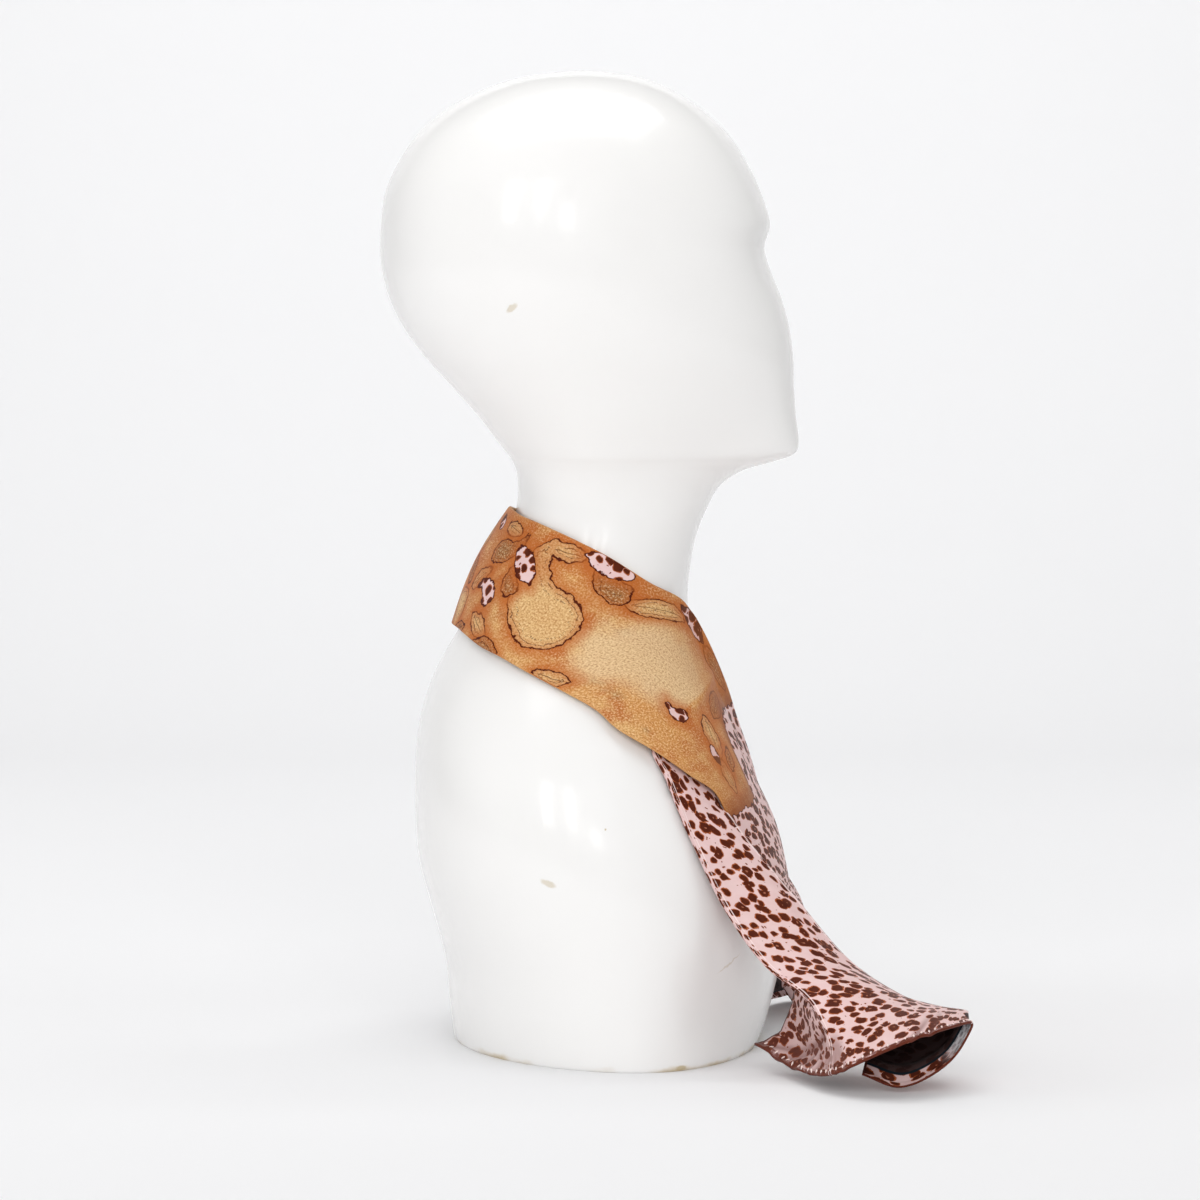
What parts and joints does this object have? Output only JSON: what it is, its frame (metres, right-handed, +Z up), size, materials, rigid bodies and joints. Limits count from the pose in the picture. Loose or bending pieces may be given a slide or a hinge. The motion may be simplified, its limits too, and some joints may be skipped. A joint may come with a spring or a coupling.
{
  "type": "foulard on a limbless display bust",
  "caption": "Folded silk-like foulard round the neck of a smooth white display bust, crossed on the chest with two open, flared tails",
  "frame": {"origin": "centre of the flat underside of the bust, on the surface it stands on", "axes": "+Z up, the bust looks along +X, the wearer's right side is -Y"},
  "size_m": [0.2956, 0.3363, 0.5028],
  "materials": {
    "bust": "smooth glossy white",
    "band_cloth": "satin-like, tan and sepia print",
    "tail_cloth": "satin-like, leopard print on pale pink"
  },
  "bodies": {
    "root": {"bust": "bust", "band_right": "band_cloth", "band_left": "band_cloth", "tail_right": "tail_cloth", "tail_left": "tail_cloth"}
  },
  "joints": []
}
